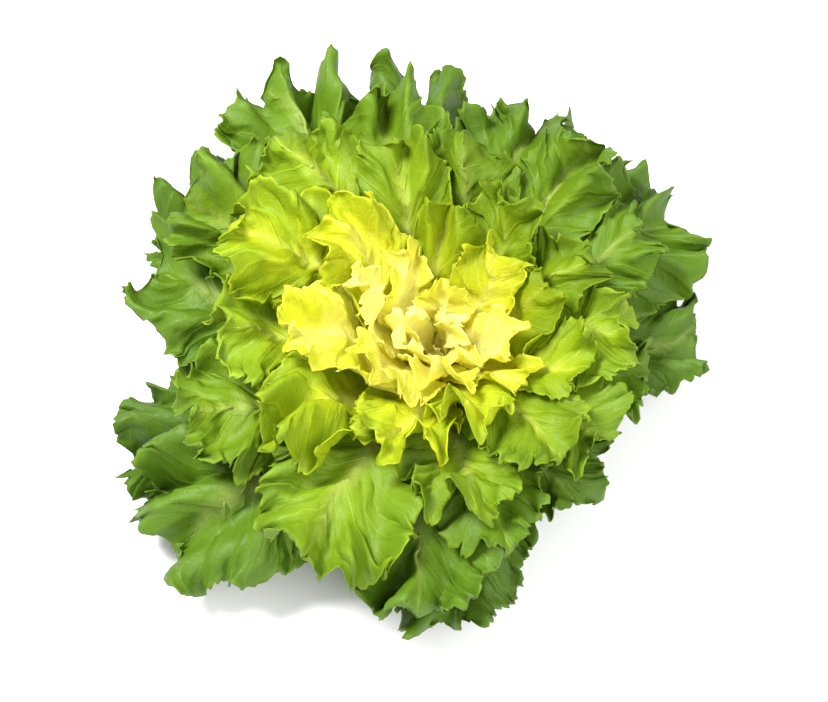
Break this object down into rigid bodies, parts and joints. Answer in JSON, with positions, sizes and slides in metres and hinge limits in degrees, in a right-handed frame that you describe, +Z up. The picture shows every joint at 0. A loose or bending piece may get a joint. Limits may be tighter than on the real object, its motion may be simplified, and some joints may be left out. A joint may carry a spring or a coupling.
{
  "type": "head of escarole",
  "caption": "Open head of leafy salad greens with broad ruffled leaves in a spiral round a short cut stem, yellow in the heart and green outside.",
  "frame": {"origin": "middle of the stem's cut face, on the surface that the head stands on", "axes": "+Z up along the stem, towards the heart; -Y towards the side that the picture shows in front"},
  "size_m": [0.2979, 0.3239, 0.1152],
  "materials": {
    "stem": "satin",
    "heart_leaf": "satin",
    "inner_leaf": "satin",
    "middle_leaf": "satin",
    "outer_leaf": "satin"
  },
  "bodies": {
    "root": {"stem": "stem", "heart_leaf_01": "heart_leaf", "heart_leaf_02": "heart_leaf", "heart_leaf_03": "heart_leaf", "heart_leaf_04": "heart_leaf", "heart_leaf_05": "heart_leaf", "heart_leaf_06": "heart_leaf", "heart_leaf_07": "heart_leaf", "heart_leaf_08": "heart_leaf", "heart_leaf_09": "heart_leaf", "heart_leaf_10": "heart_leaf", "heart_leaf_11": "heart_leaf", "heart_leaf_12": "heart_leaf", "heart_leaf_13": "heart_leaf", "heart_leaf_14": "heart_leaf", "inner_leaf_01": "inner_leaf", "inner_leaf_02": "inner_leaf", "inner_leaf_03": "inner_leaf", "inner_leaf_04": "inner_leaf", "inner_leaf_05": "inner_leaf", "inner_leaf_06": "inner_leaf", "inner_leaf_07": "inner_leaf", "inner_leaf_08": "inner_leaf", "inner_leaf_09": "inner_leaf", "inner_leaf_10": "inner_leaf", "inner_leaf_11": "inner_leaf", "inner_leaf_12": "inner_leaf", "middle_leaf_01": "middle_leaf", "middle_leaf_02": "middle_leaf", "middle_leaf_03": "middle_leaf", "middle_leaf_04": "middle_leaf", "middle_leaf_05": "middle_leaf", "middle_leaf_06": "middle_leaf", "middle_leaf_07": "middle_leaf", "middle_leaf_08": "middle_leaf", "middle_leaf_09": "middle_leaf", "middle_leaf_10": "middle_leaf", "middle_leaf_11": "middle_leaf", "middle_leaf_12": "middle_leaf", "middle_leaf_13": "middle_leaf", "middle_leaf_14": "middle_leaf", "outer_leaf_01": "outer_leaf", "outer_leaf_02": "outer_leaf", "outer_leaf_03": "outer_leaf", "outer_leaf_04": "outer_leaf", "outer_leaf_05": "outer_leaf", "outer_leaf_06": "outer_leaf", "outer_leaf_07": "outer_leaf", "outer_leaf_08": "outer_leaf", "outer_leaf_09": "outer_leaf", "outer_leaf_10": "outer_leaf", "outer_leaf_11": "outer_leaf", "outer_leaf_12": "outer_leaf", "outer_leaf_13": "outer_leaf", "outer_leaf_14": "outer_leaf"}
  },
  "joints": []
}
